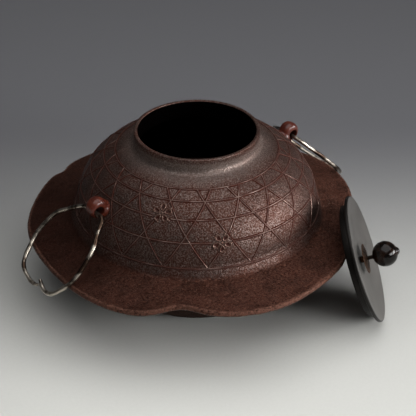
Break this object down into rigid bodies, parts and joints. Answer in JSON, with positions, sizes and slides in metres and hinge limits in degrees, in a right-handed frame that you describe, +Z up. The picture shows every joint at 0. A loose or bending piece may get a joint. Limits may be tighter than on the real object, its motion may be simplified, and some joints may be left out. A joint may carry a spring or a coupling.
{
  "type": "tea kettle",
  "caption": "Cast-iron tea kettle with a domed shoulder, wide wavy flange, smaller bottom bowl, loose wire rings in bead lugs, and a scooped bronze lid with a ball knob leaning on the rim.",
  "frame": {"origin": "centre of the flat base, on the table", "axes": "+Z up along the kettle's axis; the lugs lie on the X axis"},
  "size_m": [0.3779, 0.3669, 0.176],
  "materials": {
    "iron_skin": "fine sand-cast skin, brown lacquer bloom",
    "dark_iron": "rough, dark",
    "putty": "hard lacquer putty, matt",
    "lug_iron": "rubbed, red-brown",
    "ring_wire": "hammered, worn",
    "lid_bronze": "dark patina, satin",
    "seat_bronze": "dark patina, polished edges",
    "knob_dark": "dark patina, glossy"
  },
  "bodies": {
    "kettle": {"upper_body": "iron_skin", "bottom_bowl": "dark_iron", "joint_seal": "putty", "left_lug": "lug_iron", "right_lug": "lug_iron", "sounding_plate_1": "dark_iron", "sounding_plate_2": "dark_iron", "sounding_plate_3": "dark_iron"},
    "left_ring": {"left_ring": "ring_wire"},
    "right_ring": {"right_ring": "ring_wire"},
    "lid": {"lid_plate": "lid_bronze", "lid_collar": "lid_bronze", "knob_seat": "seat_bronze", "knob": "knob_dark", "knob_stem": "seat_bronze", "stem_washer": "lid_bronze"}
  },
  "joints": [
    {"name": "left_ring_swing", "type": "hinge", "parent": "kettle", "child": "left_ring", "pos_m": [-0.12266, 0, 0.12709], "axis": [0, 1, 0], "range_deg": [0, 165]},
    {"name": "right_ring_swing", "type": "hinge", "parent": "kettle", "child": "right_ring", "pos_m": [0.12266, 0, 0.12709], "axis": [0, -1, 0], "range_deg": [0, 165]},
    {"name": "lid_lift", "type": "slide", "parent": "kettle", "child": "lid", "axis": [0, 0, 1], "range_m": [0, 0.2]}
  ]
}
